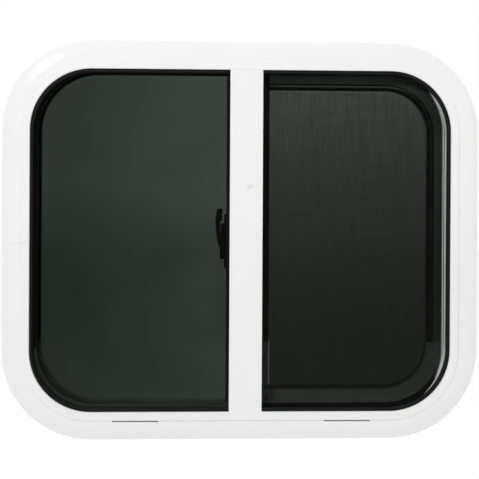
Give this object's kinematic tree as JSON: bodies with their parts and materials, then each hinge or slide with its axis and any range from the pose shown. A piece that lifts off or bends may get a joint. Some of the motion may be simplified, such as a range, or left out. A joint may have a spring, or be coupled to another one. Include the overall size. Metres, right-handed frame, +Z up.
{
  "type": "caravan sliding window",
  "caption": "Rounded rectangular sliding window for a caravan wall: bent white frame, mullion, tinted sliding and fixed panes, insect screen, latch and clamping ring.",
  "frame": {"origin": "on the rear face of the flange, on the flat land beside the body, in the middle of the bottom flange", "axes": "+Y into the wall towards the room, +Z up, +X to the right seen from outdoors"},
  "size_m": [0.635, 0.038, 0.53],
  "materials": {
    "white_powder_coat": "gloss powder coat",
    "screen_enamel": "satin enamel",
    "black_anodised": "satin anodised",
    "mill_aluminium": "mill",
    "black_rubber": "satin",
    "black_flock": "flocked",
    "grey_sill": "matt",
    "black_nylon": "moulded",
    "tinted_glass": "polished",
    "screen_cloth": "woven"
  },
  "bodies": {
    "root": {"clamp_ring": "white_powder_coat", "fixed_pane": "tinted_glass", "frame_splice": "mill_aluminium", "glass_run_head": "black_flock", "glass_run_sill": "grey_sill", "insect_mesh": "screen_cloth", "latch_body": "black_nylon", "latch_bolt": "mill_aluminium", "latch_lever": "black_nylon", "latch_pin": "mill_aluminium", "left_head_lining": "black_flock", "left_sill_lining": "grey_sill", "meeting_stile": "black_anodised", "mullion": "white_powder_coat", "mullion_cleat_bottom": "mill_aluminium", "mullion_cleat_top": "mill_aluminium", "mullion_seal": "black_rubber", "outer_frame": "white_powder_coat", "sash_pane": "tinted_glass", "sash_stop": "grey_sill", "screen_corner_bottom": "black_nylon", "screen_corner_top": "black_nylon", "screen_frame": "screen_enamel", "screen_pull": "black_nylon", "screen_spline": "black_rubber", "screen_stile": "black_anodised", "screen_track_lining": "black_flock", "screen_trim": "black_flock", "stile_cap_bottom": "black_nylon", "stile_cap_top": "black_nylon", "stile_pile": "black_flock", "wiper_gasket": "black_rubber"}
  },
  "joints": []
}
